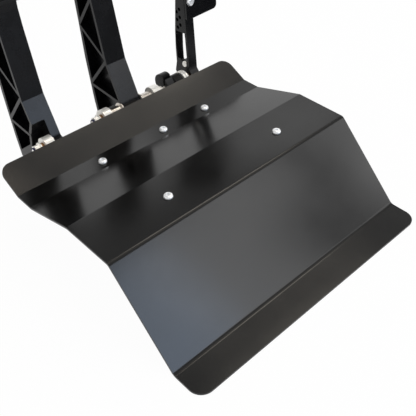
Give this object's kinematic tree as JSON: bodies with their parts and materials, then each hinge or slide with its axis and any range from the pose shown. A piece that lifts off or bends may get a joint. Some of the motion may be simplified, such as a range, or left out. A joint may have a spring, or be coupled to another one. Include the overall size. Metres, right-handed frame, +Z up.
{
  "type": "floor pedal box with heel plate",
  "caption": "Underfoot pedal box: clutch, brake and throttle pedals pivoting behind a folded black heel plate, with cylinders beneath.",
  "frame": {"origin": "on the base plate's underside, below the bend between the rear lip and the screw strip, at mid width", "axes": "+Z up, +Y away from the driver, +X to the driver's right"},
  "size_m": [0.36, 0.4246, 0.339],
  "materials": {
    "black_powder_coat": "satin black powder coat on sheet steel",
    "black_anodised": "satin black anodised",
    "bright_zinc": "bright zinc plated",
    "zinc_screw": "bright zinc plated button head",
    "plain_steel": "turned steel",
    "plain_aluminium": "turned aluminium",
    "oiled_bronze": "oil filled bronze",
    "blue_nylon": "dark blue nylon",
    "black_rubber": "ribbed black grip",
    "spring_steel": "black oxide spring wire"
  },
  "bodies": {
    "root": {"base_plate": "black_anodised", "heel_plate": "black_powder_coat", "cylinder_bracket": "black_anodised", "heel_post_left": "plain_aluminium", "heel_post_right": "plain_aluminium", "heel_screw_rear_left": "zinc_screw", "heel_screw_rear_middle": "zinc_screw", "heel_screw_rear_right": "zinc_screw", "heel_screw_front_left": "zinc_screw", "heel_screw_front_right": "zinc_screw", "brake_cylinder_left": "black_anodised", "brake_cylinder_left_inlet": "plain_aluminium", "brake_cylinder_left_outlet": "plain_aluminium", "brake_cylinder_right": "black_anodised", "brake_cylinder_right_inlet": "plain_aluminium", "brake_cylinder_right_outlet": "plain_aluminium", "clutch_cylinder": "black_anodised", "clutch_cylinder_inlet": "plain_aluminium", "clutch_cylinder_outlet": "plain_aluminium", "brake_ear_left": "bright_zinc", "brake_ear_left_bush": "oiled_bronze", "brake_ear_right": "bright_zinc", "brake_ear_right_bush": "oiled_bronze", "clutch_ear": "bright_zinc", "clutch_ear_bush": "oiled_bronze", "brake_pivot_bolt": "bright_zinc", "brake_pivot_nut": "bright_zinc", "brake_pivot_nut_collar": "blue_nylon", "clutch_pivot_bolt": "bright_zinc", "clutch_pivot_nut": "bright_zinc", "clutch_pivot_nut_collar": "blue_nylon", "brake_spacer_left": "plain_steel", "brake_spacer_right": "plain_steel", "throttle_block": "black_anodised", "throttle_pin": "plain_steel", "throttle_disc_left": "bright_zinc", "throttle_disc_right": "bright_zinc", "throttle_return_spring": "spring_steel"},
    "brake_pedal": {"brake_arm": "black_anodised", "brake_arm_bush": "oiled_bronze", "brake_pad": "black_rubber"},
    "balance_bar": {"balance_bar": "plain_steel"},
    "brake_rod_left": {"brake_clevis_left": "plain_steel", "brake_pushrod_left": "plain_steel", "brake_piston_left": "plain_aluminium"},
    "brake_rod_right": {"brake_clevis_right": "plain_steel", "brake_pushrod_right": "plain_steel", "brake_piston_right": "plain_aluminium"},
    "clutch_pedal": {"clutch_arm": "black_anodised", "clutch_arm_bush": "oiled_bronze", "clutch_pad": "black_rubber", "clutch_clevis_pin": "plain_steel"},
    "clutch_rod": {"clutch_clevis": "plain_steel", "clutch_pushrod": "plain_steel", "clutch_piston": "plain_aluminium"},
    "throttle_pedal": {"throttle_arm": "black_anodised", "throttle_bush": "oiled_bronze", "throttle_pad": "black_anodised", "throttle_pad_screw_lower": "zinc_screw", "throttle_pad_screw_upper": "zinc_screw"}
  },
  "joints": [
    {"name": "brake_press", "type": "hinge", "parent": "root", "child": "brake_pedal", "pos_m": [0.0195, 0.051, 0.0715], "axis": [-1, 0, 0], "range_deg": [0, 12], "stiffness_Nm_per_rad": 30, "springref_deg": -3.44},
    {"name": "balance_bar_turn", "type": "hinge", "parent": "brake_pedal", "child": "balance_bar", "pos_m": [0.0195, 0.05518, 0.03172], "axis": [1, 0, 0], "continuous": true},
    {"name": "brake_push_left", "type": "slide", "parent": "root", "child": "brake_rod_left", "axis": [0, -1, 0], "range_m": [0, 0.0086]},
    {"name": "brake_push_right", "type": "slide", "parent": "root", "child": "brake_rod_right", "axis": [0, -1, 0], "range_m": [0, 0.0086]},
    {"name": "clutch_press", "type": "hinge", "parent": "root", "child": "clutch_pedal", "pos_m": [-0.1025, 0.051, 0.0715], "axis": [-1, 0, 0], "range_deg": [0, 18], "stiffness_Nm_per_rad": 30, "springref_deg": -3.44},
    {"name": "clutch_push", "type": "slide", "parent": "root", "child": "clutch_rod", "axis": [0, -1, 0], "range_m": [0, 0.0128]},
    {"name": "throttle_press", "type": "hinge", "parent": "root", "child": "throttle_pedal", "pos_m": [0.128, 0.051, 0.0715], "axis": [-1, 0, 0], "range_deg": [0, 18], "stiffness_Nm_per_rad": 4, "springref_deg": -6.88, "deforming": ["throttle_return_spring"]}
  ],
  "couplings": [
    {"joint": "brake_push_left", "follows": "brake_press", "m_per_rad": 0.039927},
    {"joint": "brake_push_right", "follows": "brake_press", "m_per_rad": 0.039927},
    {"joint": "clutch_push", "follows": "clutch_press", "m_per_rad": 0.039836}
  ]
}
